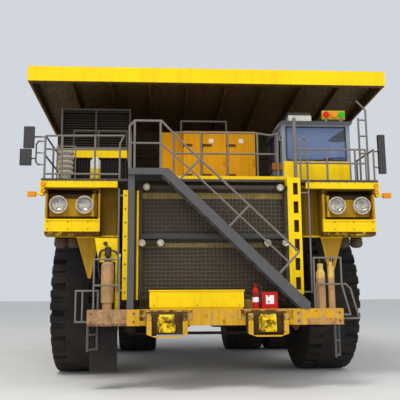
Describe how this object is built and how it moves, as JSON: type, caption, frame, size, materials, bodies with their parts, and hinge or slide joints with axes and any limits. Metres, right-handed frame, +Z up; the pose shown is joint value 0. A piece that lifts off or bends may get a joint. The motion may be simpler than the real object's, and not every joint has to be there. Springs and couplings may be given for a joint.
{
  "type": "mining dump truck",
  "caption": "Full-size electric-drive mining haul truck with tipping bed, steered front wheels, twin rear wheels, front stairway and deck cab.",
  "frame": {"origin": "ground level under the middle of the whole truck's box", "axes": "front of the truck towards -Y, its left side towards +X, +Z up"},
  "size_m": [8.69, 15.6, 7.37],
  "materials": {
    "frame_paint": "satin",
    "bumper_paint": "satin",
    "yellow_paint": "satin",
    "cabinet_paint": "satin",
    "bed_paint": "satin",
    "dark_steel": "satin",
    "engine": "satin",
    "core": "satin",
    "grille_paint": "satin",
    "red_paint": "satin",
    "step_steel": "satin",
    "rail_paint": "satin",
    "flap": "matte",
    "deck_paint": "satin",
    "lamp": "gloss",
    "black_paint": "satin",
    "cab_paint": "satin",
    "window": "gloss",
    "interior": "matte",
    "tyre": "matte",
    "rim_paint": "satin",
    "rod_steel": "gloss",
    "mirror_black": "matte"
  },
  "bodies": {
    "chassis": {"main_frame": "frame_paint", "bumper": "bumper_paint", "tow_blocks": "yellow_paint", "struts": "dark_steel", "rear_axle": "dark_steel", "engine_block": "engine", "radiator": "core", "grille": "grille_paint", "front_locker": "yellow_paint", "extinguishers": "red_paint", "bumper_bottles": "bumper_paint", "stairs": "step_steel", "handrails": "rail_paint", "stair_rails": "rail_paint", "mud_flap": "flap", "deck": "deck_paint", "deck_beams": "yellow_paint", "lamp_boxes": "yellow_paint", "lamps": "lamp", "air_cleaners": "frame_paint", "grid_box": "black_paint", "cabinet": "cabinet_paint", "cab_shell": "cab_paint", "cab_roof": "cab_paint", "cab_glass": "window", "cab_interior": "interior", "mirrors": "mirror_black", "fuel_tank": "frame_paint", "hydraulic_tank": "frame_paint", "steer_barrels": "dark_steel"},
    "bed": {"bed_floor": "bed_paint", "bed_beams": "bed_paint", "bed_wall_left": "bed_paint", "bed_wall_right": "bed_paint", "bed_front": "bed_paint", "bed_canopy": "yellow_paint"},
    "knuckle_left": {"knuckle_left": "dark_steel"},
    "knuckle_right": {"knuckle_right": "dark_steel"},
    "wheel_front_left": {"tyre_front_left": "tyre", "rim_front_left": "rim_paint"},
    "wheel_front_right": {"tyre_front_right": "tyre", "rim_front_right": "rim_paint"},
    "wheels_rear_left": {"tyres_rear_left": "tyre", "rims_rear_left": "rim_paint"},
    "wheels_rear_right": {"tyres_rear_right": "tyre", "rims_rear_right": "rim_paint"},
    "tie_rod": {"tie_rod": "dark_steel"},
    "steer_rod_left": {"steer_rod_left": "rod_steel"},
    "steer_rod_right": {"steer_rod_right": "rod_steel"},
    "hoist_barrels": {"hoist_barrels": "dark_steel"},
    "hoist_sleeves": {"hoist_sleeves": "rod_steel"},
    "hoist_rods": {"hoist_rods": "rod_steel"},
    "cab_door_left": {"cab_door_left": "cab_paint"},
    "cab_door_right": {"cab_door_right": "cab_paint"},
    "cabinet_door_1": {"cabinet_door_1": "cabinet_paint"},
    "cabinet_door_2": {"cabinet_door_2": "cabinet_paint"},
    "cabinet_door_3": {"cabinet_door_3": "cabinet_paint"}
  },
  "joints": [
    {"name": "dump", "type": "hinge", "parent": "chassis", "child": "bed", "pos_m": [0, 4.2, 2.65], "axis": [-1, 0, 0], "range_deg": [0, 45]},
    {"name": "steer_left", "type": "hinge", "parent": "chassis", "child": "knuckle_left", "pos_m": [2, -3.4, 1.85], "axis": [0, 0, 1], "range_deg": [-33, 33]},
    {"name": "steer_right", "type": "hinge", "parent": "chassis", "child": "knuckle_right", "pos_m": [-2, -3.4, 1.85], "axis": [0, 0, 1], "range_deg": [-33, 33]},
    {"name": "tie_rod_pin", "type": "hinge", "parent": "knuckle_left", "child": "tie_rod", "pos_m": [2, -2.68, 0.902], "axis": [0, 0, 1], "range_deg": [-33, 33]},
    {"name": "steer_rod_left_slide", "type": "slide", "parent": "chassis", "child": "steer_rod_left", "axis": [-1, 0, 0], "range_m": [-0.3924, 0.3924]},
    {"name": "steer_rod_right_slide", "type": "slide", "parent": "chassis", "child": "steer_rod_right", "axis": [-1, 0, 0], "range_m": [-0.3924, 0.3924]},
    {"name": "spin_front_left", "type": "hinge", "parent": "knuckle_left", "child": "wheel_front_left", "pos_m": [3.18, -3.4, 1.85], "axis": [1, 0, 0], "continuous": true},
    {"name": "spin_front_right", "type": "hinge", "parent": "knuckle_right", "child": "wheel_front_right", "pos_m": [-3.18, -3.4, 1.85], "axis": [1, 0, 0], "continuous": true},
    {"name": "spin_rear_left", "type": "hinge", "parent": "chassis", "child": "wheels_rear_left", "pos_m": [2.68, 2.95, 1.85], "axis": [1, 0, 0], "continuous": true},
    {"name": "spin_rear_right", "type": "hinge", "parent": "chassis", "child": "wheels_rear_right", "pos_m": [-2.68, 2.95, 1.85], "axis": [1, 0, 0], "continuous": true},
    {"name": "hoist_swing", "type": "hinge", "parent": "chassis", "child": "hoist_barrels", "pos_m": [0, 0.9, 1.35], "axis": [-1, 0, 0], "range_deg": [0, 21.51]},
    {"name": "hoist_stage_1", "type": "slide", "parent": "hoist_barrels", "child": "hoist_sleeves", "axis": [0, -0.0483, 0.9988], "range_m": [0, 1.2079]},
    {"name": "hoist_stage_2", "type": "slide", "parent": "hoist_sleeves", "child": "hoist_rods", "axis": [0, -0.0483, 0.9988], "range_m": [0, 1.2079]},
    {"name": "cab_door_left_swing", "type": "hinge", "parent": "chassis", "child": "cab_door_left", "pos_m": [3.425, -5.396, 5.3], "axis": [0, 0, -1], "range_deg": [0, 90]},
    {"name": "cab_door_right_swing", "type": "hinge", "parent": "chassis", "child": "cab_door_right", "pos_m": [1.705, -6.176, 5.3], "axis": [0, 0, 1], "range_deg": [0, 90]},
    {"name": "cabinet_door_1_swing", "type": "hinge", "parent": "chassis", "child": "cabinet_door_1", "pos_m": [-0.592, -5.416, 5.3], "axis": [0, 0, -1], "range_deg": [0, 100]},
    {"name": "cabinet_door_2_swing", "type": "hinge", "parent": "chassis", "child": "cabinet_door_2", "pos_m": [-0.102, -5.416, 5.3], "axis": [0, 0, -1], "range_deg": [0, 100]},
    {"name": "cabinet_door_3_swing", "type": "hinge", "parent": "chassis", "child": "cabinet_door_3", "pos_m": [0.508, -5.416, 5.3], "axis": [0, 0, -1], "range_deg": [0, 100]}
  ],
  "couplings": [
    {"joint": "steer_right", "follows": "steer_left", "ratio": 1},
    {"joint": "tie_rod_pin", "follows": "steer_left", "ratio": -1},
    {"joint": "steer_rod_left_slide", "follows": "steer_left", "m_per_rad": 0.68085},
    {"joint": "steer_rod_right_slide", "follows": "steer_left", "m_per_rad": 0.68085},
    {"joint": "hoist_swing", "follows": "dump", "ratio": 0.47762},
    {"joint": "hoist_stage_1", "follows": "dump", "m_per_rad": 1.5366},
    {"joint": "hoist_stage_2", "follows": "dump", "m_per_rad": 1.5366}
  ]
}
